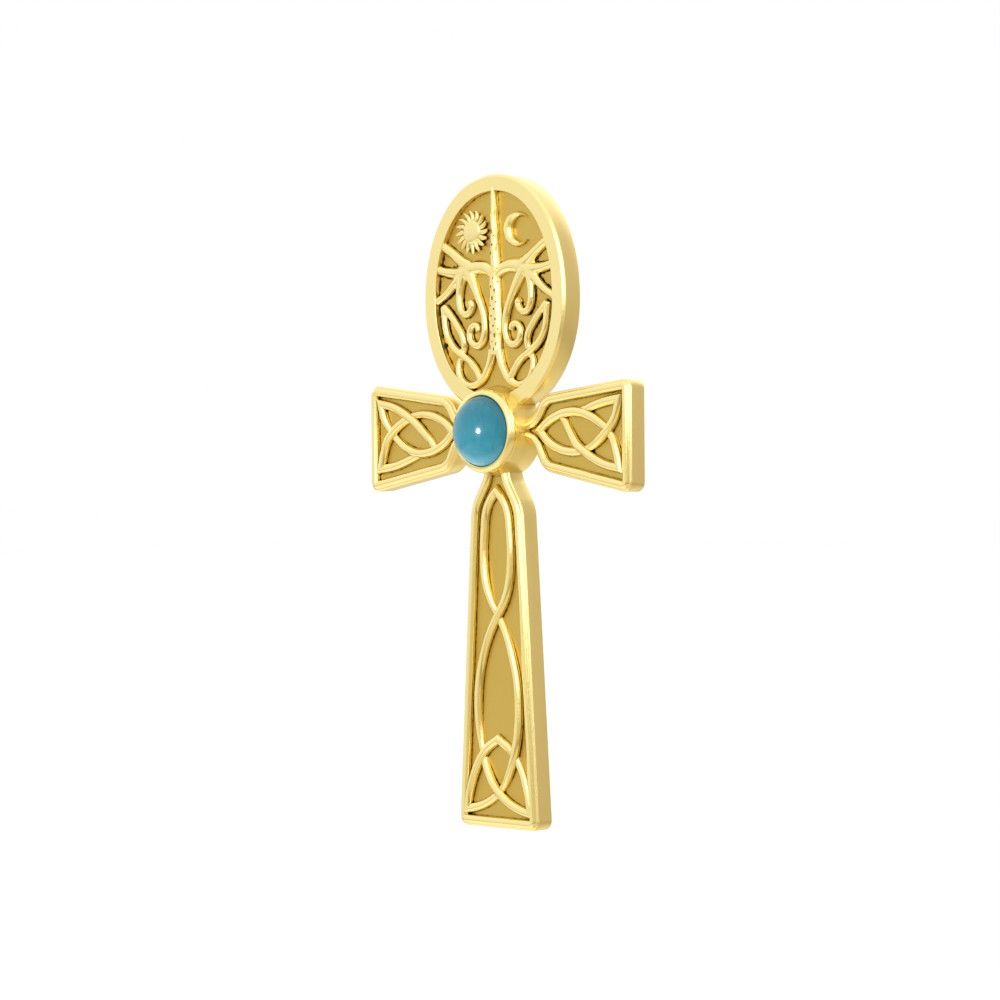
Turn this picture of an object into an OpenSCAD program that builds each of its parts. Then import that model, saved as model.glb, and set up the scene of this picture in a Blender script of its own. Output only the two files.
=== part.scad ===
// Ankh pendant, in millimetres: a cast body with an oval head, two arms and a leg, all with
// raised ornament on a sunken floor, a round cabochon in a tall bezel at the crossing, and a
// plain bail hidden behind the head.
//
// It hangs upright. +Z is up, the front faces -Y, and the origin is the place at the top of
// the bail's bore where a chain bears. The body is drawn flat, as [across, up] from the
// stone's centre with the back at height 0, and then stood up.

/* [Body] */
// Thickness from the back to the tops of the rim and wires
body_t = 1.7; // [1.2:0.1:3]
// Depth of the sunken floor below the tops
floor_d = 0.45; // [0.25:0.05:0.7]
// Narrow ledge left outside the border wires
ledge_w = 0.1; // [0.05:0.01:0.25]
// Width of the border wires on the arms and the leg
wire_w = 0.6; // [0.4:0.05:0.8]
// Radius of the outer corners
corner_r = 0.7; // [0.2:0.1:1]
// Radius of the hollows where arms and leg narrow to the hub
hollow_r = 0.8; // [0.3:0.1:1.2]

/* [Oval head] */
// Half width of the oval
head_half_w = 6.8; // [6:0.1:9]
// Height of the oval's widest place above the stone's centre
head_mid = 9.3; // [8.5:0.1:10.5]
// Reach of the oval above its widest place
head_rise = 8.7; // [7:0.1:12]
// Reach of the oval below its widest place
head_drop = 8; // [7:0.1:9]
// Fullness of the oval, 2 for a plain ellipse
head_fullness = 2.08; // [2:0.02:2.6]
// Width of the flat rim
rim_w = 1.15; // [0.8:0.05:1.6]

/* [Arms] */
// Distance from the middle to the end of an arm
arm_reach = 12.6; // [11:0.05:16]
// Height of an arm's end above its middle line
arm_end_up = 3.5; // [3:0.05:4.5]
// Depth of an arm's end below its middle line
arm_end_down = 4.4; // [3.8:0.05:5]
// Distance from the middle to the shoulders of an arm
arm_shoulder = 4.6; // [4.4:0.05:5.5]
// Height of the upper shoulder
shoulder_up = 2.5; // [2.2:0.05:2.8]
// Depth of the lower shoulder
shoulder_down = 2.8; // [2.4:0.05:3]
// Half height of an arm's neck at the hub
arm_neck = 0.8; // [0.7:0.05:1.2]

/* [Leg] */
// Length from the stone's centre to the foot
leg_len = 27.9; // [24:0.1:34]
// Half width of the foot
foot_half_w = 3.82; // [3.2:0.02:5]
// Distance from the stone's centre down to the leg's shoulders
leg_shoulder = 5.3; // [4.8:0.1:6.5]
// Half width at the shoulders
leg_shoulder_half = 2.5; // [2.2:0.05:3]
// Half width of the leg's neck at the hub
leg_neck = 1.2; // [1:0.05:1.5]

/* [Setting] */
// Radius of the cabochon
stone_r = 2.5; // [2.2:0.05:2.8]
// Height of the stone's straight side above its base
girdle_h = 0.85; // [0.6:0.05:1.2]
// Rise of the dome above the straight side
dome_h = 2; // [1.2:0.1:2.6]
// Gap round the stone
stone_gap = 0.04; // [0.02:0.01:0.08]
// Thickness of the bezel's wall
bezel_wall = 0.43; // [0.3:0.01:0.6]
// Height of the bezel's lip above the end of the stone's straight side
lip_rise = 0.45; // [0.3:0.05:0.6]
// Width of the hub outside the bezel
hub_flare = 0.18; // [0.1:0.02:0.3]

/* [Ornament] */
// Width of the knots' strands
strand_w = 0.64; // [0.5:0.02:0.7]
// Width of the tree's twigs, scrolls and leaves
vine_w = 0.58; // [0.36:0.02:0.62]
// Width of the tree's two boughs
bough_w = 0.68; // [0.5:0.02:0.8]
// Half width of the tree's trunk at its thickest
trunk_half_w = 0.6; // [0.4:0.02:0.66]
// Radius of the sun's disc
sun_r = 0.85; // [0.6:0.05:1]
// Radius of the moon
moon_r = 1.2; // [0.9:0.05:1.4]

/* [Bail] */
// Radius of the bore that a chain goes through
bore_r = 1; // [0.7:0.05:1.3]
// Wall of the bail round the bore
bail_wall = 0.45; // [0.3:0.05:0.7]
// Length of the bail along its bore
bail_len = 3; // [2:0.1:4.5]
// Distance from the top of the head down to the bore's axis
bail_drop = 3; // [2.6:0.1:5]

/* [Hidden] */

gold = [0.86, 0.70, 0.38];
teal = [0.28, 0.60, 0.70];
round_fn = 64;

// Heights above the back
floor_h = body_t - floor_d;
seat_h = body_t;
girdle_top = seat_h + girdle_h;
lip_h = girdle_top + lip_rise;

// Radii round the stone's axis
pocket_r = stone_r + stone_gap;
bezel_r = pocket_r + bezel_wall;
hub_r = bezel_r + hub_flare;
lip_bore_r = stone_r * sqrt(1 - pow(lip_rise / dome_h, 2)) + stone_gap / 2;

// Head
head_top = head_mid + head_rise;
inner_half_w = head_half_w - rim_w;
inner_rise = head_rise - rim_w;
inner_drop = head_drop - rim_w;

// The bail's bore stands this far behind the back, and the chain bears this high
bail_back = bore_r + bail_wall;
hang_up = head_top - bail_drop + bore_r;

// How far the ornament's prisms are rooted in the floor, and into the bezel's wall
root = floor_d / 2;
wall_root = bezel_wall / 2;
// Half the width of the lines that bands are grown from
hair = vine_w / 26;

// Stands the flat drawing up and puts the chain's place at the origin
module stood_up() {
    translate([0, -bail_back, -hang_up]) rotate([90, 0, 0]) children();
}

// A smooth line through a few chosen points
function between(a, b, c, d, t) =
    0.5 * (2 * b + (c - a) * t + (2 * a - 5 * b + 4 * c - d) * t * t
        + (3 * b - a - 3 * c + d) * t * t * t);
function smooth(p, steps = 2) = let (last = len(p) - 1) [
    for (i = [0:last - 1], k = [0:steps - 1])
        between(p[max(i - 1, 0)], p[i], p[i + 1], p[min(i + 2, last)], k / steps),
    p[last]
];

// One side of a line, set off by a distance that may be a list
function beside(p, d) = [
    for (i = [0:len(p) - 1])
        let (
            run = p[min(i + 1, len(p) - 1)] - p[max(i - 1, 0)],
            off = is_list(d) ? d[i] : d
        )
        p[i] + off * [-run[1], run[0]] / norm(run)
];
function backwards(p) = [for (i = [len(p) - 1:-1:0]) p[i]];
module hairline(p) {
    polygon(concat(beside(p, hair), backwards(beside(p, -hair))));
}

// A band of equal width along one or more lines
module band(w) {
    offset(r = w / 2 - hair, $fn = 16) children();
}

// Outlines, seen from the front
function oval(half_w, rise, drop, n = 72) = [
    for (i = [0:n - 1])
        let (c = cos(360 * i / n), s = sin(360 * i / n))
        [
            half_w * sign(c) * pow(abs(c), 2 / head_fullness),
            head_mid + (s > 0 ? rise : drop) * sign(s) * pow(abs(s), 2 / head_fullness)
        ]
];

module head_outline() {
    polygon(oval(head_half_w, head_rise, head_drop));
}

module eased() {
    offset(r = corner_r, $fn = round_fn) offset(r = -corner_r - hollow_r, $fn = round_fn)
        offset(delta = hollow_r) children();
}

module arm_outline() {
    neck_x = hub_r + (arm_shoulder - hub_r) / 5;
    eased() polygon([
        [0, arm_neck], [neck_x, arm_neck], [arm_shoulder, shoulder_up],
        [arm_reach, arm_end_up], [arm_reach, -arm_end_down],
        [arm_shoulder, -shoulder_down], [neck_x, -arm_neck], [0, -arm_neck]
    ]);
}

module leg_outline() {
    neck_y = -hub_r;
    eased() polygon([
        [leg_neck, 0], [leg_neck, neck_y], [leg_shoulder_half, -leg_shoulder],
        [foot_half_w, -leg_len], [-foot_half_w, -leg_len],
        [-leg_shoulder_half, -leg_shoulder], [-leg_neck, neck_y], [-leg_neck, 0]
    ]);
}

module both_sides() {
    children();
    mirror([1, 0]) children();
}

// The wire that runs round an arm or the leg, just inside its ledge
module border() {
    difference() {
        offset(delta = -ledge_w) children();
        offset(delta = -ledge_w - wire_w) children();
    }
}

// Knots. Points are shares: along the arm's reach, and across in halves of its end's height,
// from a line a little below the middle.
function on_arm(shares) =
    let (half = (arm_end_up + arm_end_down) / 2)
    [for (s = shares) [s[0] * arm_reach, (s[1] - 0.07) * half]];
upper_tip = [0.93, 0.627];
lower_tip = [0.93, -0.627];
// From the inner tip over the top to the lower outer tip
arm_over = [
    [0.333, 0.065], [0.39, 0.215], [0.46, 0.325], [0.54, 0.385], [0.62, 0.385], [0.70, 0.315],
    [0.762, 0.205], [0.817, 0.07], [0.861, -0.08], [0.893, -0.26], [0.913, -0.44], lower_tip
];
// From the inner tip along the bottom to the upper outer tip
arm_under = [
    [0.333, 0.065], [0.39, -0.11], [0.46, -0.235], [0.54, -0.305], [0.62, -0.305],
    [0.70, -0.23], [0.762, -0.125], [0.817, 0.015], [0.861, 0.16], [0.893, 0.32],
    [0.913, 0.46], upper_tip
];
// The bight between the outer tips, with its bend under the upper strand
arm_bight = [
    upper_tip, [0.865, 0.58], [0.794, 0.54], [0.714, 0.48], [0.643, 0.41], [0.571, 0.32],
    [0.526, 0.22], [0.536, 0.12], [0.563, 0], [0.611, -0.185], [0.667, -0.31],
    [0.73, -0.425], [0.81, -0.53], lower_tip
];
function upended(shares) = [for (s = shares) [s[0], -s[1]]];

module arm_knot(bight) {
    band(strand_w) {
        hairline(smooth(on_arm(arm_over)));
        hairline(smooth(on_arm(arm_under)));
        hairline(smooth(on_arm(bight)));
    }
}

// Points are shares: across in halves of the foot, and down the leg's length
function on_leg(shares) = [for (s = shares) [s[0] * foot_half_w, -s[1] * leg_len]];
foot_tip = [-0.83, 0.967];
// From the top tip down the left side, over to the right and back to the left foot
leg_run = [
    [0, 0.142], [-0.15, 0.166], [-0.26, 0.20], [-0.32, 0.255], [-0.34, 0.32], [-0.30, 0.38],
    [-0.19, 0.427], [0, 0.468], [0.20, 0.513], [0.36, 0.565], [0.47, 0.625], [0.51, 0.69],
    [0.50, 0.752], [0.42, 0.81], [0.27, 0.86], [0.05, 0.905], [-0.22, 0.935],
    [-0.52, 0.956], foot_tip
];
// Half of the arch that stands on the two foot tips
leg_arch = [
    foot_tip, [-0.77, 0.93], [-0.67, 0.888], [-0.51, 0.843], [-0.29, 0.803], [0, 0.774]
];

module leg_knot() {
    band(strand_w) both_sides() {
        hairline(smooth(on_leg(leg_run)));
        hairline(smooth(on_leg(leg_arch)));
    }
}

// The tree in the head. Points are shares of the floor's half width and of its reach up or down.
function on_floor(shares) = [
    for (s = shares)
        [s[0] * inner_half_w, head_mid + s[1] * (s[1] > 0 ? inner_rise : inner_drop)]
];
leaf_tip = [0.89, -0.06];
leaf_outer = [
    leaf_tip, [0.87, -0.19], [0.85, -0.31], [0.80, -0.41], [0.71, -0.50], [0.575, -0.57],
    [0.46, -0.635], [0.37, -0.72], [0.31, -0.82]
];
leaf_inner_and_root = [
    leaf_tip, [0.76, -0.16], [0.645, -0.27], [0.565, -0.37], [0.54, -0.47], [0.585, -0.56],
    [0.635, -0.65], [0.635, -0.745], [0.575, -0.84], [0.47, -0.885], [0.355, -0.87],
    [0.25, -0.80], [0.16, -0.70], [0.05, -0.60]
];
bough = [[0, 0.20], [0.10, 0.245], [0.20, 0.28], [0.32, 0.295], [0.44, 0.28], [0.54, 0.25]];
lower_twig = [[0.54, 0.25], [0.62, 0.21], [0.70, 0.155], [0.83, 0.07], [1.01, -0.01]];
upper_twig = [[0.44, 0.29], [0.62, 0.37], [0.75, 0.45], [0.89, 0.52]];
middle_twig = [[0.54, 0.26], [0.73, 0.26], [0.87, 0.275], [1.01, 0.305]];
small_scroll = [
    [0.55, 0.24], [0.59, 0.14], [0.625, 0.04], [0.62, -0.06], [0.56, -0.135],
    [0.475, -0.145], [0.405, -0.10], [0.395, -0.035], [0.44, -0.015]
];
large_scroll = [
    [0.47, 0.26], [0.38, 0.15], [0.31, 0.05], [0.24, -0.06], [0.195, -0.16], [0.175, -0.27],
    [0.185, -0.37], [0.235, -0.45], [0.315, -0.475], [0.395, -0.445], [0.435, -0.38],
    [0.425, -0.31], [0.365, -0.265], [0.305, -0.275], [0.28, -0.33]
];
// The trunk's [height share, half width share] from the fork up to the rim
trunk_rows = [
    [-0.60, 0.90], [-0.45, 1], [-0.2, 1], [0.1, 0.88], [0.3, 0.80], [0.6, 0.62], [1.03, 0.36]
];

module tree() {
    middle = [for (r = trunk_rows) on_floor([[0, r[0]]])[0]];
    sides = [for (r = trunk_rows) r[1] * trunk_half_w];
    polygon(concat(beside(middle, sides), backwards(beside(middle, -sides))));
    band(bough_w) both_sides() hairline(smooth(on_floor(bough)));
    band(vine_w) both_sides()
        for (line = [
            leaf_outer, leaf_inner_and_root, upper_twig, middle_twig, lower_twig, small_scroll,
            large_scroll
        ])
            hairline(smooth(on_floor(line)));
}

module sun() {
    rays = 16;
    ray_tip = 1.72 * sun_r;
    ray_half = 0.2 * sun_r;
    bend = 6;
    translate(on_floor([[-0.37, 0.635]])[0]) {
        circle(r = sun_r, $fn = 32);
        for (i = [0:rays - 1])
            rotate(360 * i / rays)
                polygon([
                    [0, -ray_half], [sun_r, -ray_half],
                    ray_tip * [cos(bend), sin(bend)], [sun_r, ray_half], [0, ray_half]
                ]);
    }
}

module moon() {
    bite_r = 0.71 * moon_r;
    bite_out = 0.4 * moon_r;
    translate(on_floor([[0.40, 0.63]])[0]) difference() {
        circle(r = moon_r, $fn = 40);
        translate([bite_out, 0]) circle(r = bite_r, $fn = 32);
    }
}

// All that stands up from the sunken floor, seen from the front
module ornament() {
    offset(delta = 0) difference() {
        union() {
            difference() {
                head_outline();
                polygon(oval(inner_half_w, inner_rise, inner_drop));
            }
            intersection() {
                polygon(oval(inner_half_w + rim_w / 2, inner_rise + rim_w / 2, inner_drop));
                union() {
                    tree();
                    sun();
                    moon();
                }
            }
            difference() {
                union() {
                    both_sides() border() arm_outline();
                    arm_knot(arm_bight);
                    mirror([1, 0]) arm_knot(upended(arm_bight));
                    border() leg_outline();
                    leg_knot();
                }
                head_outline();
            }
        }
        circle(r = bezel_r - wall_root, $fn = round_fn);
    }
}

module silhouette() {
    head_outline();
    both_sides() arm_outline();
    leg_outline();
}

module hub_and_bezel() {
    edge = bezel_wall / 3;
    rotate_extrude($fn = round_fn) difference() {
        polygon([
            [0, 0], [hub_r, 0], [hub_r, floor_h], [bezel_r, floor_h + hub_flare],
            [bezel_r, lip_h - edge], [bezel_r - edge, lip_h], [0, lip_h]
        ]);
        polygon([
            [0, seat_h], [pocket_r, seat_h], [pocket_r, girdle_top],
            [lip_bore_r, lip_h], [lip_bore_r, lip_h + lip_rise], [0, lip_h + lip_rise]
        ]);
    }
}

module ankh_body() {
    color(gold) stood_up() {
        linear_extrude(floor_h) offset(delta = 0) silhouette();
        translate([0, 0, floor_h - root]) linear_extrude(floor_d + root) ornament();
        hub_and_bezel();
    }
}

module stone() {
    rows = 10;
    color(teal) stood_up() rotate_extrude($fn = round_fn) polygon(concat(
        [[0, seat_h], [stone_r, seat_h]],
        [
            for (i = [0:rows])
                let (a = 90 * i / rows)
                [stone_r * cos(a), girdle_top + dome_h * sin(a)]
        ]
    ));
}

// A short tube along X whose foot sits flat on the back
module bail() {
    outer_r = bore_r + bail_wall;
    foot_half = outer_r * 0.75;
    color(gold) stood_up()
        translate([-bail_len / 2, head_top - bail_drop, -bail_back]) rotate([90, 0, 90])
            linear_extrude(bail_len) difference() {
                union() {
                    circle(r = outer_r, $fn = round_fn);
                    translate([-foot_half, 0]) square([2 * foot_half, bail_back]);
                }
                circle(r = bore_r, $fn = round_fn);
            }
}

ankh_body();
stone();
bail();
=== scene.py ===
from math import atan2, cos, pi, radians, sin, sqrt, tan

import bmesh
import bpy
from mathutils import Matrix, Vector, noise


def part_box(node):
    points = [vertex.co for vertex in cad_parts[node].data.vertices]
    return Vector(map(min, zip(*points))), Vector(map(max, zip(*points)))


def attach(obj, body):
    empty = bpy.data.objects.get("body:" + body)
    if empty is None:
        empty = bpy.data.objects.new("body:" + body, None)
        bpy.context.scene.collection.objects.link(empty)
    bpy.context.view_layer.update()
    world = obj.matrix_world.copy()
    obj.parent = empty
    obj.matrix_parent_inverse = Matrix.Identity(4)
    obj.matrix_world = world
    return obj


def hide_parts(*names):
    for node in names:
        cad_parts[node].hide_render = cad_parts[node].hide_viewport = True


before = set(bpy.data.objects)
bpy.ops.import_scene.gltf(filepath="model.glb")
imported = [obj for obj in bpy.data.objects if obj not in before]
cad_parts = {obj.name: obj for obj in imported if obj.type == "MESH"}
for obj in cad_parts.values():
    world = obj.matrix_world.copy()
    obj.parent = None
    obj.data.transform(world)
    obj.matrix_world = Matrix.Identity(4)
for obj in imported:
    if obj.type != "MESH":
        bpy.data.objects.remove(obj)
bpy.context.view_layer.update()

mm = 0.001
weld = 0.0005  # points nearer than this many millimetres are one point

# The casting is drawn flat in millimetres: x across, y up from the stone's centre, z up from the back
bodyLow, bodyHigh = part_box("ankh_body")
stoneLow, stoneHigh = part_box("stone")
bailLow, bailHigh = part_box("bail")
stoneUp = (stoneLow.z + stoneHigh.z) / 2
# Stands the drawing up in the frame, with its back at the casting's back
toFront = Matrix.Rotation(radians(90), 4, "X") @ Matrix.Scale(mm, 4)
fromDrawing = Matrix.Translation((0, bodyHigh.y, stoneUp)) @ toFront

body = {
    "crest": (bodyHigh.y - stoneHigh.y) / mm,  # tops of rim and wires, level with the stone's seat
    "floorDepth": 0.45,
    "curb": 1.47,  # height of the rounded edge outside the wires
    "curbRound": 0.15,
    "backBevel": 0.08,
    "wireInset": 0.45,
    "wireRadius": 0.32,
    "curbWidth": 0.45,
}
body["floor"] = body["crest"] - body["floorDepth"]


# Small helpers

def newObject(name, data, material=None):
    obj = bpy.data.objects.new(name, data)
    bpy.context.scene.collection.objects.link(obj)
    if material:
        data.materials.append(material)
    return obj


def toMesh(bm, name):
    mesh = bpy.data.meshes.new(name)
    bm.to_mesh(mesh)
    bm.free()
    return mesh


def evaluatedMesh(obj, name):
    bpy.context.view_layer.update()
    graph = bpy.context.evaluated_depsgraph_get()
    mesh = bpy.data.meshes.new_from_object(obj.evaluated_get(graph))
    mesh.name = name
    old = obj.data
    bpy.data.objects.remove(obj)
    if isinstance(old, bpy.types.Curve):
        bpy.data.curves.remove(old)
    return mesh


def addBoolean(obj, other, operation):
    modifier = obj.modifiers.new(operation.lower(), "BOOLEAN")
    modifier.operation = operation
    modifier.solver = "EXACT"
    modifier.object = other


# Smooth where the angle is small, but crisp where a flat front or back ends
def smoothByAngle(bm, degrees=35, crispFlats=False):
    bm.normal_update()
    for face in bm.faces:
        face.smooth = True
    for edge in bm.edges:
        if len(edge.link_faces) != 2:
            continue
        flats = [abs(face.normal.z) > 0.9999 for face in edge.link_faces]
        crisp = crispFlats and flats[0] != flats[1]
        edge.smooth = not crisp and edge.calc_face_angle(0) < radians(degrees)


def onlyVerts(geom):
    return [g for g in geom if isinstance(g, bmesh.types.BMVert)]


def shifted(bm, verts, *step):
    bmesh.ops.translate(bm, verts=verts, vec=step)


def bevelEdges(bm, edges, offset, segments):
    bmesh.ops.bevel(
        bm, geom=edges, offset=offset, segments=segments, profile=0.5, affect="EDGES", material=-1
    )


def closeUp(bm, gap=weld):
    bmesh.ops.remove_doubles(bm, verts=bm.verts[:], dist=gap)
    openEdges = [e for e in bm.edges if e.is_boundary]
    if openEdges:
        bmesh.ops.holes_fill(bm, edges=openEdges, sides=0)
    bmesh.ops.recalc_face_normals(bm, faces=bm.faces[:])


def finishPiece(bm, name, materials, replaced, degrees=35, crispFlats=False):
    smoothByAngle(bm, degrees, crispFlats)
    bm.transform(fromDrawing)
    obj = newObject(name, toMesh(bm, name))
    for material in materials:
        obj.data.materials.append(material)
    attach(obj, "root")
    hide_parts(replaced)
    return obj


# A round strand along chosen points: x, y, height of its crest, and thickness as a share of the radius
def strand(points, radius, resolution=5, sides=5, smooth=True):
    curve = bpy.data.curves.new("strand", "CURVE")
    curve.dimensions = "3D"
    curve.bevel_depth = radius
    curve.bevel_resolution = sides
    curve.resolution_u = resolution
    curve.use_fill_caps = True
    spline = curve.splines.new("BEZIER" if smooth else "POLY")
    line = spline.bezier_points if smooth else spline.points
    line.add(len(points) - 1)
    for point, (x, y, crest, thick) in zip(line, points):
        place = (x, y, crest - radius * thick)
        if smooth:
            point.co = place
            point.handle_left_type = point.handle_right_type = "AUTO"
        else:
            point.co = (*place, 1)
        point.radius = thick
    bm = bmesh.new()
    bm.from_mesh(evaluatedMesh(newObject("strand", curve), "strand"))
    bmesh.ops.remove_doubles(bm, verts=bm.verts[:], dist=weld)
    return bm


# Runs a strand on past its end, in line with its last stretch
def runOn(points, reach):
    start, end = Vector(points[-2][:2]), Vector(points[-1][:2])
    way = (end - start).normalized()
    return points + [(*(end + way * reach), *points[-1][2:])], way


# Cuts a strand's end on the line where it meets its partner in a point
def mitre(bm, tip, way, partnerWay, reach):
    middle = (way + partnerWay).normalized()
    across = (way - middle * way.dot(middle)).normalized()
    tip3 = Vector((*tip, 0))
    near = [f for f in bm.faces if all((v.co.xy - Vector(tip)).length < reach for v in f.verts)]
    geom = list(dict.fromkeys(x for f in near for x in [*f.verts, *f.edges])) + near
    bmesh.ops.bisect_plane(
        bm, geom=geom, plane_co=tip3, plane_no=(*across, 0), clear_outer=True, dist=0.0001
    )


def joined(parts):
    whole = bmesh.new()
    for part in parts:
        mesh = toMesh(part, "part")
        whole.from_mesh(mesh)
        bpy.data.meshes.remove(mesh)
    return whole


# Outlines

# Each corner is x, y and the radius of its rounding, where 0 keeps it sharp
def roundedFace(corners, z):
    bm = bmesh.new()
    verts = [bm.verts.new((x, y, z)) for x, y, _ in corners]
    bm.faces.new(verts)
    count = len(corners)
    jobs = []
    for i, (x, y, r) in enumerate(corners):
        if r:
            here = Vector((x, y))
            one = (Vector(corners[i - 1][:2]) - here).normalized()
            two = (Vector(corners[(i + 1) % count][:2]) - here).normalized()
            jobs.append((verts[i], r / tan(one.angle(two) / 2)))
    for vert, offset in jobs:
        bmesh.ops.bevel(
            bm, geom=[vert], offset=offset, offset_type="OFFSET", segments=8, profile=0.5,
            affect="VERTICES", material=-1, clamp_overlap=False,
        )
    return bm


def faceRing(face):
    return [loop.vert.co.copy() for loop in face.loops]


def insetRing(bm, thickness):
    copy = bm.copy()
    copy.faces.ensure_lookup_table()
    face = copy.faces[0]
    bmesh.ops.inset_region(copy, faces=[face], thickness=thickness, use_even_offset=True, use_boundary=True)
    ring = faceRing(face)
    copy.free()
    return ring


def levelEdges(bm, z):
    return [e for e in bm.edges if len(e.link_faces) == 2 and all(abs(v.co.z - z) < 1e-4 for v in e.verts)]


# A slab with a sunken floor, raised from a flat face; its upper edge is rounded, or chamfered first
def sunkenSlab(bm, top, edgeRound, ledge, innerBevel, chamfer=0):
    bm.faces.ensure_lookup_table()
    bottom = bm.faces[0]
    raised = bmesh.ops.extrude_face_region(bm, geom=[bottom])["geom"]
    shifted(bm, onlyVerts(raised), 0, 0, top)
    bmesh.ops.recalc_face_normals(bm, faces=bm.faces[:])
    topFace = max(bm.faces, key=lambda f: f.calc_center_median().z)
    backFace = min(bm.faces, key=lambda f: f.calc_center_median().z)
    bevelEdges(bm, backFace.edges[:], body["backBevel"], 2)
    bmesh.ops.inset_region(bm, faces=[topFace], thickness=ledge, use_even_offset=True)
    bm.normal_update()
    outerEdges = [e for e in levelEdges(bm, top) if any(f.normal.z < 0.5 for f in e.link_faces)]
    down = bmesh.ops.extrude_face_region(bm, geom=[topFace, *topFace.edges, *topFace.verts])["geom"]
    shifted(bm, onlyVerts(down), 0, 0, body["floor"] - top)
    if chamfer:
        bevelEdges(bm, outerEdges, chamfer, 1)
        outerEdges = levelEdges(bm, top - chamfer)
    bevelEdges(bm, outerEdges, edgeRound, 4)
    innerEdges = [e for e in levelEdges(bm, top) if abs(e.calc_face_angle(0) - pi / 2) < 0.1]
    if innerBevel and innerEdges:
        bevelEdges(bm, innerEdges, innerBevel, 3)
    bmesh.ops.recalc_face_normals(bm, faces=bm.faces[:])
    for face in bm.faces:
        sunken = all(abs(v.co.z - body["floor"]) < 1e-3 for v in face.verts)
        face.material_index = 1 if sunken else 0
    return bm


# Node helpers

def node(nodeTree, kind, **values):
    made = nodeTree.nodes.new(kind)
    for name, value in values.items():
        if name in made.inputs:
            made.inputs[name].default_value = value
        else:
            setattr(made, name, value)
    return made


# Sets a socket to a plain value, or links another socket to it
def feed(nodeTree, socket, source):
    if isinstance(source, (int, float, tuple)):
        socket.default_value = source
    else:
        nodeTree.links.new(source, socket)


def ramp(nodeTree, stops, low, high, fac):
    made = node(nodeTree, "ShaderNodeValToRGB")
    elements = made.color_ramp.elements
    for i, (at, value) in enumerate(stops):
        position = (at - low) / (high - low)
        stop = elements[i] if i < 2 else elements.new(position)
        stop.position = position
        stop.color = (*value, 1) if isinstance(value, tuple) else (value, value, value, 1)
    feed(nodeTree, made.inputs["Fac"], fac)
    return made.outputs["Color"]


def blend(nodeTree, fac, first, second, mode="MIX"):
    made = node(nodeTree, "ShaderNodeMix", data_type="RGBA", blend_type=mode)
    feed(nodeTree, made.inputs["Factor"], fac)
    feed(nodeTree, made.inputs[6], first)
    feed(nodeTree, made.inputs[7], second)
    return made.outputs[2]


def spread(nodeTree, value, low, high, toLow=0, toHigh=1):
    made = node(nodeTree, "ShaderNodeMapRange")
    for name, source in (
        ("Value", value), ("From Min", low), ("From Max", high), ("To Min", toLow), ("To Max", toHigh)
    ):
        feed(nodeTree, made.inputs[name], source)
    return made.outputs["Result"]


def reckon(nodeTree, operation, *values):
    made = node(nodeTree, "ShaderNodeMath", operation=operation)
    for socket, value in zip(made.inputs, values):
        feed(nodeTree, socket, value)
    return made.outputs[0]


def cloud(nodeTree, where, scale, detail, roughness=0.5, distortion=0.0):
    made = node(
        nodeTree, "ShaderNodeTexNoise", Scale=scale, Detail=detail, Roughness=roughness,
        Distortion=distortion,
    )
    feed(nodeTree, made.inputs["Vector"], where)
    return made.outputs["Fac"]


def mapped(nodeTree, vector, **values):
    made = node(nodeTree, "ShaderNodeMapping", **values)
    feed(nodeTree, made.inputs["Vector"], vector)
    return made.outputs["Vector"]


def separated(nodeTree, vector):
    made = node(nodeTree, "ShaderNodeSeparateXYZ")
    feed(nodeTree, made.inputs["Vector"], vector)
    return made.outputs


def newMaterial(name):
    material = bpy.data.materials.new(name)
    material.use_nodes = True
    nodeTree = material.node_tree
    where = node(nodeTree, "ShaderNodeTexCoord").outputs["Object"]
    return material, nodeTree, nodeTree.nodes["Principled BSDF"].inputs, where


# Golds
goldLook = {
    "colour": (0.965, 0.815, 0.375, 1),
    "drift": (0.96, 0.94, 0.86),  # how far the colour changes slowly over the casting
    "driftScale": 260,
    # Painted shade in corners and crevices: its colour, how far it reaches, and how it fades
    "paintedShade": (0.16, 0.115, 0.012, 1),
    "crevice": 0.2 * mm,  # reach of the darkening in corners
    "creviceFrom": 0.2,
    "creviceTo": 0.8,
    "grain": 5200,
    "roughSpread": 0.06,
    "roughLeast": 0.03,
    "bump": 0.012,
    "bumpStrength": 0.25,
    # Black specks of painted shade in the deepest corners: their colour, size and edge
    "shadeSpeckColour": (0.01, 0.008, 0.002, 1),
    "shadeSpeckScale": 2600,
    "shadeSpeckEdge": 0.03,
    # Most of the specks lie near the twigs: this far from the middle, and between these heights
    "shadeSpeckAcross": (2.0 * mm, 3.6 * mm),
    "shadeSpeckLow": (stoneUp + 4 * mm, stoneUp + 6 * mm),
    "shadeSpeckHigh": (stoneUp + 14 * mm, stoneUp + 12 * mm),
    "shadeSpeckMore": 0.34,
}


# Black specks of painted shade in the deepest corners, where ambient occlusion is lowest, broken up by
# noise
def shadeSpecked(nodeTree, where, corner, colour, threshold):
    hollow = reckon(nodeTree, "SUBTRACT", cloud(nodeTree, where, goldLook["shadeSpeckScale"], 2), corner)
    place = separated(nodeTree, where)
    near = spread(nodeTree, reckon(nodeTree, "ABSOLUTE", place["X"]), *goldLook["shadeSpeckAcross"])
    for low, high in (goldLook["shadeSpeckLow"], goldLook["shadeSpeckHigh"]):
        near = reckon(nodeTree, "MULTIPLY", near, spread(nodeTree, place["Z"], low, high))
    hollow = reckon(nodeTree, "MULTIPLY_ADD", near, goldLook["shadeSpeckMore"], hollow)
    spot = spread(nodeTree, hollow, threshold, threshold + goldLook["shadeSpeckEdge"])
    return blend(nodeTree, spot, colour, goldLook["shadeSpeckColour"])


# deep sets how dark the painted shade in corners gets; specks sets the threshold for black specks of
# painted shade
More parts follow.
